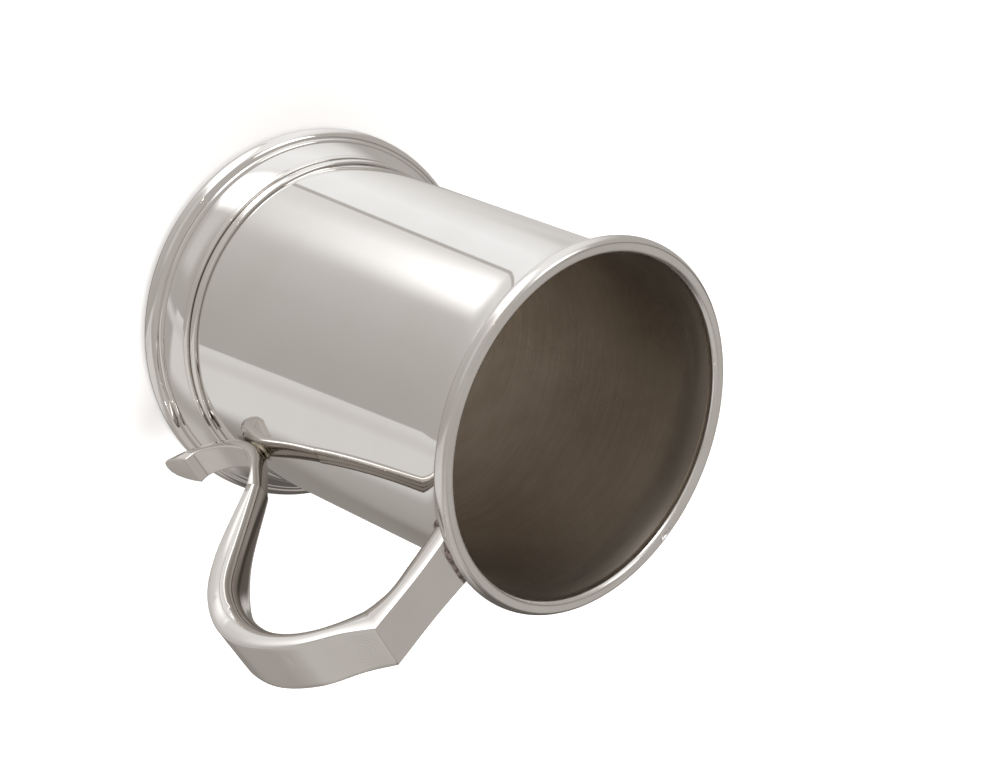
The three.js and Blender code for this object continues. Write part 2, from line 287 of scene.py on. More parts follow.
# Marks: turn, how many to a metre along and across, and levels where they start and are full
SCRATCHES = (
    ((0.3, 0.9, 0.5), 60.0, 2600.0, 0.66, 0.74),
    ((1.2, -0.4, 1.9), 45.0, 2100.0, 0.67, 0.75),
)
SCORES = ((0.4, 0.2, 1.1), 40.0, 1500.0, 0.68, 0.74)
SCUFF = 0.05                   # roughness that scratches add


def polished_silver(name, bright, film_and_shade, rough, wave, scratch, barrel_side_shade=None, groove_tarnish_and_shade=None, hammered=False):
    """Hand-polished silver: planished waves, faint film, wiping marks and hairline scratches"""
    material, tree, silver, place = new_material(name)
    clouds = cloud(tree, place, FILM_PACE, 4.0)
    tone = mixed(tree, spread(tree, clouds, *CLOUDY, 0.0, 1.0), bright, film_and_shade)
    # Painted shade: the side that faces the barrel is darkened
    if barrel_side_shade:
        facing = node(tree, "ShaderNodeTexCoord").outputs["Normal"]
        outward = node(tree, "ShaderNodeSeparateXYZ", {"Vector": facing}).outputs["X"]
        barrel_side_share = spread(tree, outward, *BARREL_SIDE_SLOPES, 1.0, 0.0)
        tone = mixed(tree, barrel_side_share, tone, barrel_side_shade)
    # Painted shade in grooves, with some tarnish: darker where ambient occlusion finds little open air
    if groove_tarnish_and_shade:
        open_air = node(tree, "ShaderNodeAmbientOcclusion", {"Distance": GROOVE_SHADE_REACH * MM}, samples=4)
        groove_shade_share = spread(tree, open_air.outputs["AO"], *GROOVE_OPEN_AIR, 1.0, 0.0)
        tone = mixed(tree, groove_shade_share, tone, groove_tarnish_and_shade)
    tree.links.new(tone, silver.inputs["Base Color"])
    scratches = math_node(tree, "ADD", *(hairlines(tree, place, *marks) for marks in SCRATCHES))
    wiped = spread(tree, cloud(tree, place, WIPE_PACE, 5.0, 0.65), *CLOUDY, *rough)
    scuffed = math_node(tree, "ADD", wiped, math_node(tree, "MULTIPLY", scratches, SCUFF))
    tree.links.new(scuffed, silver.inputs["Roughness"])
    waves = bump(tree, cloud(tree, place, WAVE_PACE, 1.0), wave, 1.0)
    if hammered:
        waves = bump(tree, ripples(tree, place), RIPPLE_DEPTH, 1.0, waves)
    tree.links.new(bump(tree, scratches, SCRATCH_DEPTH, scratch, waves), silver.inputs["Normal"])
    return material


def satin_silver(name, pale, dark, film_and_shade, rough):
    """Dull inside: lathe rings, brownish patches and a few scores, with painted shade that darkens it towards
    the lip and, high up, on the sides away from one turn
    """
    material, tree, silver, place = new_material(name)
    centred = node(tree, "ShaderNodeMapping", {"Vector": place, "Location": (-AXIS_X * MM, 0, 0)})
    parts = node(tree, "ShaderNodeSeparateXYZ", {"Vector": centred.outputs["Vector"]})
    turn = math_node(tree, "ARCTAN2", parts.outputs["Y"], parts.outputs["X"])
    flat = node(tree, "ShaderNodeCombineXYZ", {"X": parts.outputs["X"], "Y": parts.outputs["Y"]})
    out = node(tree, "ShaderNodeVectorMath", {"Vector": flat.outputs["Vector"]}, operation="LENGTH")
    rings = node(
        tree, "ShaderNodeCombineXYZ",
        {
            "X": math_node(tree, "MULTIPLY", turn, 2.0),
            "Y": math_node(tree, "MULTIPLY", parts.outputs["Z"], RING_PACE),
            "Z": math_node(tree, "MULTIPLY", out.outputs["Value"], RING_PACE),
        },
    ).outputs["Vector"]
    brushed = cloud(tree, rings, 1.0, 5.0, 0.7)
    patches = cloud(tree, place, PATCH_PACE, 4.0, 0.6)
    tone = math_node(
        tree, "ADD",
        math_node(tree, "MULTIPLY", brushed, 0.45),
        math_node(tree, "MULTIPLY", patches, 0.75),
    )
    sheen = mixed(tree, spread(tree, tone, 0.4, 0.8, 0.0, 1.0), pale, dark)
    # Painted shade: the inside darkens towards the lip
    lip_shade_share = spread(tree, parts.outputs["Z"], LIP_SHADE_FROM * MM, SEAT_Z * MM, 0.0, 1.0)
    # Painted shade: high up, the sides away from one turn and its opposite are darker
    doubled = math_node(tree, "MULTIPLY", math_node(tree, "SUBTRACT", turn, math.radians(UNSHADED_TURN)), 2.0)
    side_shade_share = spread(tree, math_node(tree, "COSINE", doubled), -1.0, 1.0, SIDE_SHADE, 0.0)
    side_shade_height = spread(tree, parts.outputs["Z"], SIDE_SHADE_FROM * MM, SIDE_SHADE_FULL * MM, 0.0, 1.0)
    side_shade_mask = math_node(tree, "MULTIPLY", side_shade_share, side_shade_height)
    painted_shade_tone = mixed(tree, math_node(tree, "MAXIMUM", lip_shade_share, side_shade_mask), sheen, film_and_shade)
    tree.links.new(painted_shade_tone, silver.inputs["Base Color"])
    tree.links.new(spread(tree, brushed, *LUMPY, *rough), silver.inputs["Roughness"])
    scores = hairlines(tree, place, *SCORES)
    brushing = bump(tree, brushed, BRUSHED_DEPTH, 0.35)
    tree.links.new(bump(tree, scores, SCORE_DEPTH, 0.4, brushing), silver.inputs["Normal"])
    return material


def solder(name, bright, dull, rough):
    """Softer alloy, lumpy and a little yellow or dark"""
    material, tree, metal, place = new_material(name)
    lumps = cloud(tree, place, GRAIN_PACE, 4.0, 0.6)
    tone = mixed(tree, spread(tree, lumps, *LUMPY, 0.0, 1.0), bright, dull)
    tree.links.new(tone, metal.inputs["Base Color"])
    tree.links.new(spread(tree, lumps, *LUMPY, *rough), metal.inputs["Roughness"])
    tree.links.new(bump(tree, lumps, LUMP_DEPTH, 0.5), metal.inputs["Normal"])
    return material


barrel_silver = polished_silver(
    "barrel_silver", bright=(0.925, 0.92, 0.91), film_and_shade=(0.90, 0.89, 0.87), rough=(0.03, 0.065),
    wave=0.06, scratch=0.25, groove_tarnish_and_shade=(0.36, 0.33, 0.30),
)
wire_silver = polished_silver(
    "wire_silver", bright=(0.92, 0.91, 0.895), film_and_shade=(0.87, 0.855, 0.83), rough=(0.04, 0.09),
    wave=0.04, scratch=0.3, groove_tarnish_and_shade=(0.30, 0.265, 0.235),
)
lip_silver = polished_silver(
    "lip_silver", bright=(0.92, 0.91, 0.895), film_and_shade=(0.84, 0.825, 0.80), rough=(0.18, 0.26),
    wave=0.04, scratch=0.4, groove_tarnish_and_shade=(0.26, 0.23, 0.21),
)
handle_silver = polished_silver(
    "handle_silver", bright=(0.90, 0.885, 0.87), film_and_shade=(0.85, 0.83, 0.81), rough=(0.05, 0.12),
    wave=0.1, scratch=0.45, barrel_side_shade=BARREL_SIDE_SHADE, hammered=True,
)
cast_silver = polished_silver(
    "cast_silver", bright=(0.89, 0.87, 0.85), film_and_shade=(0.83, 0.805, 0.78), rough=(0.07, 0.16),
    wave=0.12, scratch=0.5, barrel_side_shade=BARREL_SIDE_SHADE,
)
inside_silver = satin_silver(
    "inside_silver", pale=(0.855, 0.81, 0.755), dark=(0.735, 0.675, 0.605), film_and_shade=(0.38, 0.34, 0.295),
    rough=(0.39, 0.48),
)
knuckle_solder = solder(
    "knuckle_solder", bright=(0.82, 0.77, 0.62), dull=(0.42, 0.38, 0.30), rough=(0.22, 0.42),
)
seam_solder = solder(
    "seam_solder", bright=(0.58, 0.49, 0.46), dull=(0.19, 0.155, 0.145), rough=(0.3, 0.5),
)


# Finished pieces

def piece(name, mesh, finishes, slot, *nodes):
    """Puts a finished mesh on the body, in place of the named solids"""
    for finish in finishes:
        mesh.materials.append(finish)
    made = bpy.data.objects.new(name, mesh)
    bpy.context.scene.collection.objects.link(made)
    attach(made, "root")
    if nodes:
        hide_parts(*nodes)
    return made


def finished(name, bm):
    """Mesh in metres in the row frame, smooth but for its creases"""
    bmesh.ops.translate(bm, verts=bm.verts, vec=(AXIS_X, 0, 0))
    bmesh.ops.scale(bm, verts=bm.verts, vec=(MM, MM, MM))
    for face in bm.faces:
        face.smooth = True
    for edge in bm.edges:
        edge.smooth = edge.calc_face_angle(0) < CREASE
    mesh = bpy.data.meshes.new(name)
    bm.to_mesh(mesh)
    bm.free()
    return mesh


def knock(bm, place, along, reach, width, depth):
    """Long shallow dent in the metal"""
    bm.normal_update()
    way = along.normalized()
    for v in bm.verts:
        offset = v.co - place
        run = offset.dot(way)
        aside = (offset - way * run).length
        share = 1 - (run / reach) ** 2 - (aside / width) ** 2
        if share > 0:
            v.co -= v.normal * depth * share ** 2


# Turned pieces

def barrel_radius(z):
    share = (z - BARREL_FOOT_Z) / (NECK_Z - BARREL_FOOT_Z)
    return BARREL_FOOT_R + (NECK_R - BARREL_FOOT_R) * share


def arc(r, z, across, up, start, end):
    """Points of an ellipse's arc, from one angle to another in quarter turns"""
    steps = round(abs(end - start) * ARC_STEPS)
    turns = [math.pi / 2 * (start + (end - start) * i / steps) for i in range(steps + 1)]
    return [(r + across * math.cos(t), z + up * math.sin(t)) for t in turns]


def bend(first, middle, last, steps):
    """Points of a quadratic curve"""
    run = []
    for i in range(steps + 1):
        t = i / steps
        run.append(tuple(
            (1 - t) ** 2 * a + 2 * t * (1 - t) * b + t * t * c for a, b, c in zip(first, middle, last)
        ))
    return run


def turned(outline, closed=True):
    """Spins an outline round the barrel's axis"""
    bm = bmesh.new()
    corners = [bm.verts.new((r, 0, z)) for r, z in outline]
    ends = corners[1:] + (corners[:1] if closed else [])
    for a, b in zip(corners, ends):
        bm.edges.new((a, b))
    bmesh.ops.spin(
        bm, geom=bm.verts[:] + bm.edges[:], cent=(0, 0, 0), axis=(0, 0, 1),
        angle=math.tau, steps=TURN_STEPS, use_merge=True,
    )
    bmesh.ops.remove_doubles(bm, verts=bm.verts, dist=SAME_PLACE)
    bmesh.ops.recalc_face_normals(bm, faces=bm.faces)
    return bm


def barrel_outside(clearance):
    middle_z = (NECK_Z + SEAT_Z) / 2
    rises = [BARREL_FOOT_Z + (NECK_Z - BARREL_FOOT_Z) * i / BARREL_STEPS for i in range(BARREL_STEPS)]
    taper = [(barrel_radius(z), z) for z in rises]
    flare = bend((NECK_R, NECK_Z), (barrel_radius(middle_z), middle_z), (MOUTH_R, SEAT_Z), FLARE_STEPS)
    return [(r + clearance, z) for r, z in taper + flare]


def make_barrel():
    bm = turned([*barrel_outside(0), *reversed(barrel_outside(-BARREL_WALL))])
    for face in bm.faces:
        middle = face.calc_center_median()
        inward = middle.x * face.normal.x + middle.y * face.normal.y < 0
        face.material_index = 1 if inward else 0
    skin = finished("barrel_skin", bm)
    piece("barrel_skin", skin, [barrel_silver, inside_silver], "polished_silver", "barrel")


def knock_lip(bm, degrees, r, reach, width, depth):
    """Dent along the top of the lip"""
    upward = Vector((0, 0, 1))
    way = Vector((math.cos(math.radians(degrees)), math.sin(math.radians(degrees)), 0))
    knock(bm, way * r + upward * HEIGHT, way.cross(upward), reach, width, depth)


def make_lip():
    outer = arc(LIP_CREST_R, LIP_WIDEST_Z, LIP_OUT, LIP_RISE, LIP_START, 1)
    inner = []
    for across, up in arc(0, 0, 1, 1, 1, 2):
        r = LIP_CREST_R - LIP_IN * max(-across, 0) ** LIP_FULL
        inner.append((r, LIP_WIDEST_Z + LIP_RISE * max(up, 0) ** LIP_FULL))
    tuck = (LIP_CREST_R - LIP_IN + LIP_TUCK_OUT, SEAT_Z + LIP_TUCK_UP)
    bm = turned([(MOUTH_R - BARREL_WALL, SEAT_Z), *outer, *inner[1:], tuck])
    knock_lip(bm, NICK_TURN, LIP_CREST_R - NICK_IN, NICK_REACH, NICK_WIDTH, NICK_DEPTH)
    for degrees in WORN_CREST:
        knock_lip(bm, degrees, LIP_CREST_R + CREST_OUT, CREST_REACH, CREST_WIDTH, CREST_DEPTH)
    piece("lip_wire_skin", finished("lip_wire_skin", bm), [lip_silver], "polished_silver", "lip_wire")


def make_base():
    edge = barrel_radius(BASE_Z + BASE_SHEET) - BARREL_WALL - HAIRLINE
    under = []
    for i in range(BASE_STEPS + 1):
        r = edge * i / BASE_STEPS
        under.append((r, BASE_Z + BASE_DOME * (1 - (r / edge) ** 2)))
    over = [(r, z + BASE_SHEET) for r, z in reversed(under)]
    disc = finished("base_disc", turned(under + over, closed=False))
    piece("base_disc", disc, [inside_silver], "satin_silver", "bottom_plate")


SKIRT_FOOT_R = FOOT_R - FOOT_WIRE_W / 2 - REED_W - HAIRLINE
SKIRT_FOOT_Z = FOOT_WIRE_H + REED_H
SKIRT_TOP_R = barrel_radius(SKIRT_TOP_Z) + HAIRLINE + SKIRT_SHEET


def make_skirt():
    slope = bend(
        (SKIRT_FOOT_R, SKIRT_FOOT_Z),
        ((SKIRT_FOOT_R + SKIRT_TOP_R) / 2 - SKIRT_HOLLOW, (SKIRT_FOOT_Z + SKIRT_TOP_Z) / 2 - SKIRT_HOLLOW),
        (SKIRT_TOP_R, SKIRT_TOP_Z),
        ARC_STEPS,
    )
    outline = [
        (SKIRT_FOOT_R, FOOT_LEDGE),
        *slope,
        (SKIRT_TOP_R - SKIRT_SHEET, SKIRT_TOP_Z),
        (BARREL_FOOT_R + HAIRLINE, BARREL_FOOT_Z),
        (SKIRT_FOOT_R - SKIRT_SHEET, SKIRT_FOOT_Z - SKIRT_SHEET),
        (SKIRT_FOOT_R - SKIRT_SHEET, FOOT_LEDGE),
    ]
    skirt = finished("foot_skirt_skin", turned(outline))
    piece("foot_skirt_skin", skirt, [barrel_silver], "polished_silver", "foot_skirt")


def make_foot_wire():
    middle = FOOT_R - FOOT_WIRE_W / 2
    bore = SKIRT_FOOT_R + HAIRLINE
    ledge = SKIRT_FOOT_R - SKIRT_SHEET
    outline = [
        (ledge, 0),
        *arc(middle, FOOT_WIRE_H / 2, FOOT_WIRE_W / 2, FOOT_WIRE_H / 2, -1, 1),
        *arc(bore, FOOT_WIRE_H, REED_W, REED_H, 0, 1),
        (bore, FOOT_LEDGE),
        (ledge, FOOT_LEDGE),
    ]
    wire = finished("foot_wire_skin", turned(outline))
    piece("foot_wire_skin", wire, [wire_silver], "polished_silver", "foot_wire")


def make_astragal():
    reed = ASTRAGAL_H / 4
    top = SKIRT_TOP_Z + ASTRAGAL_H
    low_r = barrel_radius(SKIRT_TOP_Z) + HAIRLINE
    top_r = barrel_radius(top) + HAIRLINE
    half = ASTRAGAL_PROUD / 2
    outline = [
        (low_r, SKIRT_TOP_Z),
        *arc(low_r + half, SKIRT_TOP_Z + reed, half, reed, -1, 1),
        *arc(top_r + half / 2, top - reed, half, reed, -1, 1),
        (top_r, top),
    ]
    ring = finished("astragal_skin", turned(outline))
    piece("astragal_skin", ring, [wire_silver], "polished_silver", "astragal")


# Handle: a D section led along two rails, the edge of its flat back and the crown of its round side

def rail(*knots):
    """Dense run of places on a smooth curve through the knots"""
    run = [knots[0]]
    ends = [2 * knots[0] - knots[1], *knots, 2 * knots[-1] - knots[-2]]
    for before, start, end, after in zip(ends, ends[1:], ends[2:], ends[3:]):
        pairs = ((before, start), (start, end), (end, after))
        lead, span, trail = (math.sqrt((b - a).length) for a, b in pairs)
        leaving = ((start - before) / lead - (end - before) / (lead + span)) * span + (end - start)
        meeting = ((after - end) / trail - (after - start) / (span + trail)) * span + (end - start)
        for i in range(1, KNOT_STEPS + 1):
            t = i / KNOT_STEPS
            run.append(
                start * (2 * t ** 3 - 3 * t ** 2 + 1) + leaving * (t ** 3 - 2 * t ** 2 + t)
                + end * (3 * t ** 2 - 2 * t ** 3) + meeting * (t ** 3 - t ** 2)
            )
    return run


def length(run):
    return sum((b - a).length for a, b in zip(run, run[1:]))


def at(run, share):
    """Place at a share of a run's length"""
    left = share * length(run)
    for a, b in zip(run, run[1:]):
        step = (b - a).length
        if left <= step:
            return a.lerp(b, left / step)
        left -= step
    return run[-1].copy()


def beyond_lip(out, half, drop):
    return Vector((LIP_R + out, half, HEIGHT - drop))


def off_barrel(out, half, rise):
    z = KNUCKLE_Z + rise
    return Vector((barrel_radius(z) + out, half, z))


def between(a, b, out, across, up):
    return Vector((a.x + (b.x - a.x) * out, a.y + (b.y - a.y) * across, a.z + (b.z - a.z) * up))


def crown_of(edge, depth, slope):
    angle = math.radians(slope)
    return Vector((edge.x + depth * math.cos(angle), 0, edge.z + depth * math.sin(angle)))


lip_edge = beyond_lip(-END_TUCK, LIP_HALF, STRAP_DROP)
lip_crown = beyond_lip(-END_TUCK, 0, STRAP_DROP + LIP_DEPTH)
ridge_edge = beyond_lip(RIDGE_OUT, RIDGE_HALF, -RIDGE_RISE)
ridge_crown = beyond_lip(RIDGE_OUT - RIDGE_LEAN, 0, RIDGE_DEPTH - RIDGE_RISE)
belly_edge = beyond_lip(BELLY_OUT, BELLY_HALF, BELLY_DROP)
belly_crown = beyond_lip(BELLY_OUT - BELLY_DEPTH, 0, BELLY_DROP)
seam_edge = off_barrel(LEG_OUT, LEG_HALF, LEG_RISE)
seam_crown = crown_of(seam_edge, LEG_DEPTH, 180 - LEG_TILT)
knuckle_edge = off_barrel(KNUCKLE_DEPTH - KNUCKLE_BITE, KNUCKLE_HALF, KNUCKLE_LEAN)
knuckle_crown = off_barrel(-KNUCKLE_BITE, 0, 0)
end_edge = off_barrel(TAIL_OUT, TAIL_HALF, -TAIL_DROP)
end_crown = crown_of(end_edge, TAIL_FACE, -TAIL_FACE_TILT)

# The back has a corner at the thumb ridge, and the crown runs on under it
crown_rail = rail(
    lip_crown,
    between(lip_crown, ridge_crown, 0.457, 0, 0.9),
    between(lip_crown, ridge_crown, 0.751, 0, 1.45),
    ridge_crown,
    between(ridge_crown, belly_crown, 0.55, 0, 0.18),
    between(ridge_crown, belly_crown, 0.92, 0, 0.53),
    belly_crown,
    between(belly_crown, seam_crown, 0.08, 0, 0.25),
    between(belly_crown, seam_crown, 0.35, 0, 0.54),
    seam_crown,
)
RIDGE_KNOT = 3                 # ridge_crown's place in this row
strap_rails = (
    rail(lip_edge, between(lip_edge, ridge_edge, 0.5, 1, 0.5), ridge_edge),
    crown_rail[:RIDGE_KNOT * KNOT_STEPS + 1],
)
loop_rails = (
    rail(
        ridge_edge,
        between(ridge_edge, belly_edge, 0.24, 0.45, 0.165),
        between(ridge_edge, belly_edge, 0.645, 1.1, 0.393),
        between(ridge_edge, belly_edge, 0.933, 1.35, 0.689),
        belly_edge,
        between(belly_edge, seam_edge, 0.107, 0.035, 0.272),
        between(belly_edge, seam_edge, 0.374, 0.55, 0.586),
        seam_edge,
    ),
    crown_rail[RIDGE_KNOT * KNOT_STEPS:],
)
tail_rails = (
    rail(
        seam_edge,
        between(seam_edge, knuckle_edge, 0.62, 0.5, 0.42),
        knuckle_edge,
        between(knuckle_edge, end_edge, 0.08, 0.3, 0.32),
        between(knuckle_edge, end_edge, 0.34, 0.6, 0.7),
        between(knuckle_edge, end_edge, 0.74, 0.85, 1.0),
        end_edge,
    ),
    rail(
        seam_crown,
        between(seam_crown, knuckle_crown, 0.44, 0, 0.38),
        between(seam_crown, knuckle_crown, 0.83, 0, 0.72),
        knuckle_crown,
        between(knuckle_crown, end_crown, 0.06, 0, 0.27),
        between(knuckle_crown, end_crown, 0.25, 0, 0.54),
        between(knuckle_crown, end_crown, 0.58, 0, 0.79),
        end_crown,
    ),
)


def stations(rails, steps, first=0):
    """Middle of the back, way towards the crown, depth and half width, along a pair of rails"""
    row = []
    for i in range(first, steps + 1):
        edge, crown = (at(run, i / steps) for run in rails)
        back = Vector((edge.x, 0, edge.z))
        row.append((back, (crown - back).normalized(), (crown - back).length, edge.y))
    return row


def section(station, side):
    """Ring of places: one edge of the back, over the crown to the other edge, then across the back"""
    back, inward, depth, half = station
    power = 2 / SQUARENESS
    spots = [(-half, 0)]
    for i in range(SECTION_STEPS + 1):
        angle = (i / SECTION_STEPS - 0.5) * math.pi
        across = math.copysign(half * abs(math.sin(angle)) ** power, angle)
        below = (depth - side) * max(math.cos(angle), 0) ** power
        spots.append((across, side + below))
    spots += [(half * (1 - 2 * i / BACK_STEPS), 0) for i in range(BACK_STEPS)]
    if not side:
        spots = spots[1:-BACK_STEPS] + spots[-BACK_STEPS + 1:]
    return [back + inward * below + Vector((0, across, 0)) for across, below in spots]


def led_along(row, side, ridge=None):
    """Extrudes the section from station to station, and wears its creases, the ridge and the far end round"""
    bm = bmesh.new()
    ring = [bm.verts.new(p) for p in section(row[0], side)]
    edges = [bm.edges.new(pair) for pair in zip(ring, ring[1:] + ring[:1])]
    bmesh.ops.contextual_create(bm, geom=edges)
    far = SECTION_STEPS + (2 if side else 0)
    creases = []
    for number, station in enumerate(row[1:], 1):
        made = bmesh.ops.extrude_edge_only(bm, edges=edges)["geom"]
        fresh = {v for v in made if isinstance(v, bmesh.types.BMVert)}
        rails = [next(e for e in v.link_edges if e.other_vert(v) in fresh) for v in ring]
        ring = [e.other_vert(v) for v, e in zip(ring, rails)]
        for v, p in zip(ring, section(station, side)):
            v.co = p
        edges = [bm.edges.get(pair) for pair in zip(ring, ring[1:] + ring[:1])]
        creases += [rails[0], rails[far]]
        if number == ridge:
            creases += edges[far:]
    bmesh.ops.contextual_create(bm, geom=edges)
    creases += edges
    bmesh.ops.recalc_face_normals(bm, faces=bm.faces)
    bmesh.ops.bevel(
        bm, geom=creases, offset=EDGE_WEAR, offset_type="OFFSET", segments=WEAR_STEPS, profile=0.5,
        affect="EDGES", material=-1, clamp_overlap=True,
    )
    return bm


def wall_radius(z):
    """Outside of the barrel and the mouth's flare"""
    outside = barrel_outside(0)
    for (r0, z0), (r1, z1) in zip(outside, outside[1:]):
        if z0 <= z <= z1:
            return r0 + (r1 - r0) * (z - z0) / (z1 - z0)
    return MOUTH_R


def lip_radius(z):
    """Outside of the lip's wire, or of the wall where there is none"""
    reach = 1 - ((z - LIP_WIDEST_Z) / LIP_RISE) ** 2
    return LIP_CREST_R + LIP_OUT * math.sqrt(reach) if z > SEAT_Z and reach > 0 else wall_radius(z)


strap_row = stations(strap_rails, STRAP_STEPS)
tucked = [s for s in strap_row if s[0].x < MOUTH_R - BARREL_WALL]
end_row = strap_row[max(0, len(tucked) - END_ROWS):]
loop_row = stations(loop_rails, LOOP_STEPS, 1)


def air_hole(handle):
    """Drills the hollow handle's air hole low on the leg's back"""
    share = 1 - VENT_UP / length(loop_rails[0])
    edge, crown = (at(run, share) for run in loop_rails)
    back = Vector((edge.x, 0, edge.z))
    turn = (crown - back).to_track_quat("Z", "Y").to_matrix().to_4x4()
    bm = bmesh.new()
    bmesh.ops.create_cone(
        bm, cap_ends=True, segments=VENT_SIDES, radius1=VENT_R, radius2=VENT_R, depth=2 * VENT_DEPTH,
        matrix=Matrix.Translation(back) @ turn @ Matrix.Rotation(math.pi / VENT_SIDES, 4, "Z"),
    )
    drill = bpy.data.objects.new("drill", finished("drill", bm))
    bpy.context.scene.collection.objects.link(drill)
    bore = handle.modifiers.new("air_hole", "BOOLEAN")
    bore.operation = "DIFFERENCE"
    bore.solver = "EXACT"
    bore.object = drill
    drilled = handle.evaluated_get(bpy.context.evaluated_depsgraph_get())
    mesh = bpy.data.meshes.new_from_object(drilled)
    handle.modifiers.remove(bore)
    solid = handle.data
    handle.data = mesh
    mesh.name = "hollow_handle"
    bpy.data.meshes.remove(solid)
    bpy.data.objects.remove(drill)


def make_handle():
    """Filed to the wall at the lip, and kept short of the far x side of the box of the solids"""
    bm = led_along(end_row + loop_row, BACK_SIDE, len(end_row) - 1)
    reach = cad_box[1][0] / MM - AXIS_X
    for v in bm.verts:
        wall = wall_radius(v.co.z) - BARREL_WALL / 2
        if v.co.z > NECK_Z - LIP_DEPTH and math.hypot(v.co.x, v.co.y) < wall:
            v.co.x = math.sqrt(wall ** 2 - v.co.y ** 2)
        v.co.x = min(v.co.x, reach)
    for place in WORN:
        knock(bm, Vector(place), Vector((0, 0, 1)), WORN_REACH, WORN_WIDTH, WORN_DEPTH)
    handle = piece(
        "hollow_handle", finished("hollow_handle", bm), [handle_silver], "polished_silver",
        "handle_channel", "thumb_strap", "back_strap",
    )
    air_hole(handle)


def make_tail():
    bm = led_along(stations(tail_rails, TAIL_STEPS), 0)
    casting = finished("tail_casting", bm)
    piece("tail_casting", casting, [cast_silver], "cast_silver", "tail", "tail_plate")


# Solder: lumpy beads along the joints of handle and barrel

def bead(name, path, thick, lumpy, finish, slot):
    """Closed bead of solder along a path, thicker and thinner as it ran"""
    line = bpy.data.curves.new(name, "CURVE")
    line.dimensions = "3D"
    line.bevel_depth = MM
    line.bevel_resolution = BEAD_STEPS
    run = line.splines.new("POLY")
    run.use_cyclic_u = True
    run.points.add(len(path) - 1)
    for spot, place in zip(run.points, path):
        spot.co = (*(place + Vector((AXIS_X, 0, 0))) * MM, 1)
        spot.radius = thick * (1 + lumpy * noise(place * LUMP_PACE))
    drawn = bpy.data.objects.new(name, line)
    bpy.context.scene.collection.objects.link(drawn)
    mesh = bpy.data.meshes.new_from_object(drawn.evaluated_get(bpy.context.evaluated_depsgraph_get()))
    bpy.data.objects.remove(drawn)
    bpy.data.curves.remove(line)
    mesh.name = name
    mesh.shade_smooth()
    piece(name, mesh, [finish], slot)


def make_lip_solder():
    """Follows the D of the handle's end where it meets the lip's wire and the flare"""
    rings = [section(station, BACK_SIDE) for station in strap_row]
    path = []
    for column in zip(*rings):
        for inner, outer in zip(column, column[1:]):
            gap_in = math.hypot(inner.x, inner.y) - lip_radius(inner.z)
            gap_out = math.hypot(outer.x, outer.y) - lip_radius(outer.z)
            if gap_in < 0 <= gap_out:
                path.append(inner.lerp(outer, gap_in / (gap_in - gap_out)))
                break
    bead("lip_solder", path, LIP_BEAD, LIP_LUMPS, seam_solder, "cast_silver")


def make_knuckle_solder():
    """Ring of solder round the knuckle's seat on the barrel"""
    path = []
    for i in range(SEAT_STEPS):
        turn = math.tau * i / SEAT_STEPS
        z = KNUCKLE_Z + KNUCKLE_SEAT_UP + KNUCKLE_SEAT_TALL * math.cos(turn)
        y = KNUCKLE_SEAT_WIDE * math.sin(turn)
        path.append(Vector((math.sqrt(barrel_radius(z) ** 2 - y ** 2), y, z)))
    bead("knuckle_solder", path, KNUCKLE_BEAD, KNUCKLE_LUMPS, knuckle_solder, "cast_silver")


make_barrel()
make_lip()
make_base()
make_skirt()
make_foot_wire()
make_astragal()
make_handle()
make_tail()
make_lip_solder()
make_knuckle_solder()


# Studio, in metres

FLOOR_HALF = 3.0
FLOOR_GREY = (0.86, 0.86, 0.86)
FLOOR_LIFT = 0.42              # glow that keeps the floor white in the picture
WHITE = (1, 1, 1)


def make_floor():
    bm = bmesh.new()
    bmesh.ops.create_grid(bm, x_segments=1, y_segments=1, size=FLOOR_HALF)
    mesh = bpy.data.meshes.new("floor")
    bm.to_mesh(mesh)
    bm.free()
    floor = bpy.data.objects.new("floor", mesh)
    bpy.context.scene.collection.objects.link(floor)
    floor.visible_glossy = False
    material = bpy.data.materials.new("pale_floor")
    material.use_nodes = True
    tree = material.node_tree
    tree.nodes.clear()
    paint = node(tree, "ShaderNodeBsdfDiffuse", {"Color": (*FLOOR_GREY, 1)})
    seen = node(tree, "ShaderNodeLightPath").outputs["Is Camera Ray"]
    lift = math_node(tree, "MULTIPLY", seen, FLOOR_LIFT)
    glow = node(tree, "ShaderNodeEmission", {"Color": (*WHITE, 1), "Strength": lift})
    both = node(tree, "ShaderNodeAddShader", {0: paint.outputs["BSDF"], 1: glow.outputs["Emission"]})
    node(tree, "ShaderNodeOutputMaterial", {"Surface": both.outputs["Shader"]})
    mesh.materials.append(material)


# Room that the metal mirrors, as degrees round its upright and brightness:
# cream wall, window wall, grey room, dark side and white wall
ROOM = (
    (-180, 0.64), (-160, 0.76), (-141, 0.93), (-125, 0.89), (-121.5, 0.74), (-109, 0.77), (-98, 0.67),
    (-84, 0.55), (-66, 0.48), (-45, 0.435), (-25, 0.42), (15, 0.43), (42, 0.36), (54, 0.25), (82, 0.20),
    (120, 0.17), (129, 0.78), (148, 0.80), (157, 0.62), (179.9, 0.64),
)
ROOM_TILT = (math.radians(-18.7), math.radians(-2.8), 0)
# Places on the walls: middle, half width and faded half width in degrees.
# Heights: sines of the angle above the horizon, where a part starts and where it is full.
WINDOW = (-106, 3, 19)
WINDOW_HEIGHTS = (-0.64, -0.12)
WINDOW_GLARE = 1.7
CARD = (-12, 16, 30)
CARD_EDGE = (-28.1, -27.5)
CARD_TOP = (0.38, 0.5)
CARD_LEVEL = 0.68
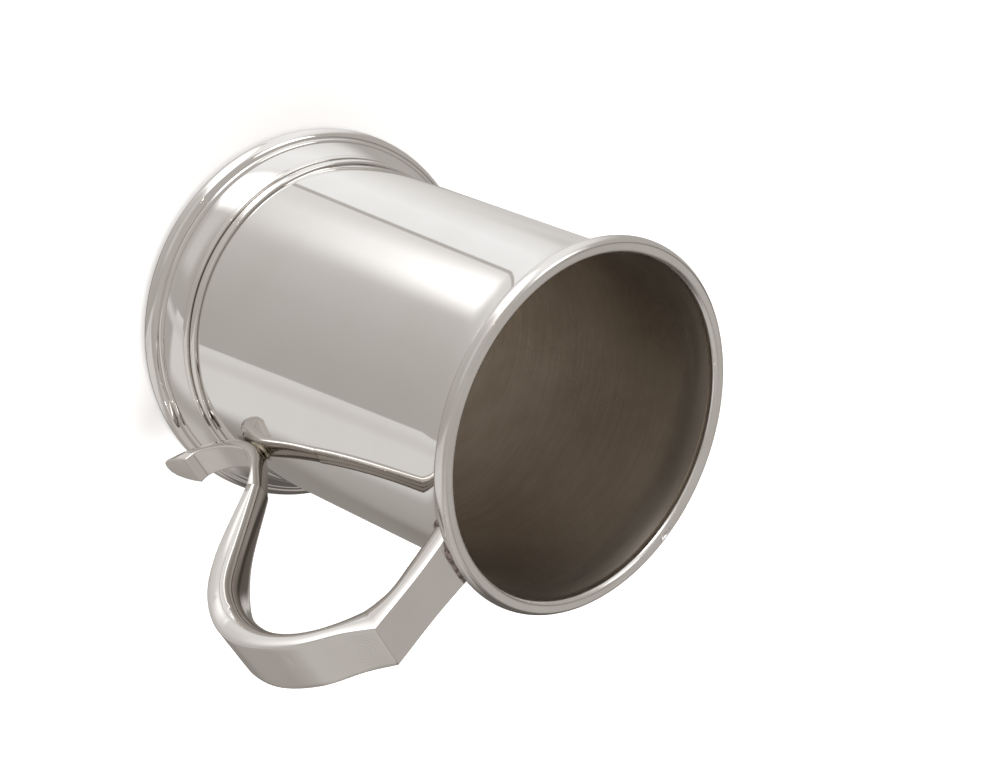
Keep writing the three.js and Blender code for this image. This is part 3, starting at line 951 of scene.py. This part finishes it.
# Parts of the room that change with height: place, heights and brightness
HANGINGS = (
    ((-123.4, 0.7, 1.5), (-0.25, -0.4), 0.47),
    ((-20.5, 0.5, 6), (-1.0, -0.9), 0.62),
    ((76, 14, 24), (-0.75, -0.6), 0.11),
    ((128, 24, 34), (-0.82, -0.66), 0.20),
    ((76, 30, 44), (0.17, 0.5), 0.26),
    ((56, 14, 30), (0.15, 0.4), 0.50),
    ((116, 20, 32), (-0.3, 0.05), 0.45),
    ((177, 14, 26), (-0.75, -0.6), 0.44),
    ((42, 10, 22), (-0.4, 0.0), 0.53),
    ((-73, 16, 34), (0.3, 0.5), 0.60),
)
CEILING = 0.46
CEILING_HEIGHTS = (0.66, 0.84)
GROUND = 0.28
GROUND_HEIGHTS = (-0.84, -0.90)
LESS_GREEN = 0.12              # what the darkest part of the room lacks
LESS_BLUE = 0.22


def warm(level):
    """Darker parts of the room are warmer"""
    dim = 1 - min(level, 1)
    return (level, level * (1 - LESS_GREEN * dim), level * (1 - LESS_BLUE * dim))


def make_world():
    world = bpy.data.worlds.new("studio")
    bpy.context.scene.world = world
    world.use_nodes = True
    tree = world.node_tree
    tree.nodes.clear()
    way = node(tree, "ShaderNodeTexCoord").outputs["Generated"]
    upright = node(tree, "ShaderNodeMapping", {"Vector": way, "Rotation": ROOM_TILT}, vector_type="VECTOR")
    parts = node(tree, "ShaderNodeSeparateXYZ", {"Vector": upright.outputs["Vector"]})
    turn = math_node(tree, "ARCTAN2", parts.outputs["Y"], parts.outputs["X"])
    up = parts.outputs["Z"]
    share = node(
        tree, "ShaderNodeMapRange",
        {"Value": turn, "From Min": -math.pi, "From Max": math.pi, "To Min": 0.0, "To Max": 1.0},
    ).outputs["Result"]
    walls = node(tree, "ShaderNodeValToRGB", {"Fac": share})
    ramp = walls.color_ramp
    ramp.interpolation = "LINEAR"
    while len(ramp.elements) < len(ROOM):
        ramp.elements.new(1.0)
    for stop, (degrees, level) in zip(ramp.elements, ROOM):
        stop.position = (degrees + 180) / 360
        stop.color = (*warm(level), 1)

    def beside(middle, near, far):
        """Full in front of a place on the walls, faded beyond it"""
        faced = node(
            tree, "ShaderNodeMapping",
            {"Vector": upright.outputs["Vector"], "Rotation": (0, 0, -math.radians(middle))},
            vector_type="VECTOR",
        )
        ahead = node(tree, "ShaderNodeSeparateXYZ", {"Vector": faced.outputs["Vector"]})
        aside = math_node(tree, "ARCTAN2", ahead.outputs["Y"], ahead.outputs["X"])
        away = math_node(tree, "ABSOLUTE", aside)
        return spread(tree, away, math.radians(near), math.radians(far), 1.0, 0.0)

    def hung(colour, share, level):
        return mixed(tree, share, colour, warm(level))

    edge = spread(tree, turn, *(math.radians(degrees) for degrees in CARD_EDGE), 0.0, 1.0)
    below = math_node(tree, "MULTIPLY", edge, spread(tree, up, *CARD_TOP, 1.0, 0.0))
    lit = hung(walls.outputs["Color"], math_node(tree, "MULTIPLY", below, beside(*CARD)), CARD_LEVEL)
    for place, heights, level in HANGINGS:
        share = math_node(tree, "MULTIPLY", beside(*place), spread(tree, up, *heights, 0.0, 1.0))
        lit = hung(lit, share, level)
    glare = math_node(tree, "MULTIPLY", beside(*WINDOW), spread(tree, up, *WINDOW_HEIGHTS, 0.0, WINDOW_GLARE))
    lit = mixed(tree, 1.0, lit, glare, blend_type="ADD")
    lit = hung(lit, spread(tree, up, *CEILING_HEIGHTS, 0.0, 1.0), CEILING)
    lit = hung(lit, spread(tree, up, *GROUND_HEIGHTS, 0.0, 1.0), GROUND)
    seen = node(tree, "ShaderNodeLightPath").outputs["Is Camera Ray"]
    light = node(tree, "ShaderNodeBackground", {"Color": mixed(tree, seen, lit, WHITE), "Strength": 1.0})
    node(tree, "ShaderNodeOutputWorld", {"Surface": light.outputs["Background"]})


def make_lamp(name, place, size, watts, colour, mirrored=True):
    lamp = bpy.data.lights.new(name, "AREA")
    lamp.shape = "DISK"
    lamp.size = size
    lamp.energy = watts
    lamp.color = colour
    made = bpy.data.objects.new(name, lamp)
    made.location = place
    made.rotation_euler = (-Vector(place)).to_track_quat("-Z", "Y").to_euler()
    made.visible_glossy = mirrored
    bpy.context.scene.collection.objects.link(made)


def towards(turn, rise, reach):
    """Place round the mug, by degrees round and up"""
    around, above = math.radians(turn), math.radians(rise)
    out = reach * math.cos(above)
    return (out * math.cos(around), out * math.sin(around), reach * math.sin(above))


# Photo's view, in millimetres in the row frame, fitted to the outlines of lip, foot and barrel
EYE = Vector((93.23, -168.82, 288.32))
AIM = Vector((-18.02, -1.05, 83.93))
ROLL = 1.96                    # radians
SENSOR = 36.0
FOCAL = 40.94
NEAREST = 10.0


def make_camera():
    ahead = (AIM - EYE).normalized()
    level = ahead.cross(Vector((0, 0, 1))).normalized()
    upright = level.cross(ahead)
    right = level * math.cos(ROLL) + upright * math.sin(ROLL)
    top = upright * math.cos(ROLL) - level * math.sin(ROLL)
    lens = bpy.data.cameras.new("photo_view")
    lens.sensor_width = SENSOR
    lens.lens = FOCAL
    lens.clip_start = NEAREST * MM
    made = bpy.data.objects.new("photo_view", lens)
    turn = Matrix((right, top, -ahead)).transposed()
    made.matrix_world = Matrix.Translation(EYE * MM) @ turn.to_4x4()
    bpy.context.scene.collection.objects.link(made)
    bpy.context.scene.camera = made


make_floor()
make_world()
make_lamp("overhead", (0.1, 0.25, 0.9), size=0.7, watts=6.0, colour=WHITE, mirrored=False)
make_lamp("side_spot", towards(18, 35, 1.2), size=0.03, watts=0.04, colour=(1, 0.97, 0.92))
make_lamp("room_spot", towards(-90, 42, 1.5), size=0.03, watts=0.04, colour=(1, 0.86, 0.66))
make_lamp("hall_lamp", towards(-146, 47, 1.0), size=0.36, watts=0.5, colour=(1, 0.99, 0.97))
make_camera()
bpy.context.scene.view_settings.view_transform = "Standard"
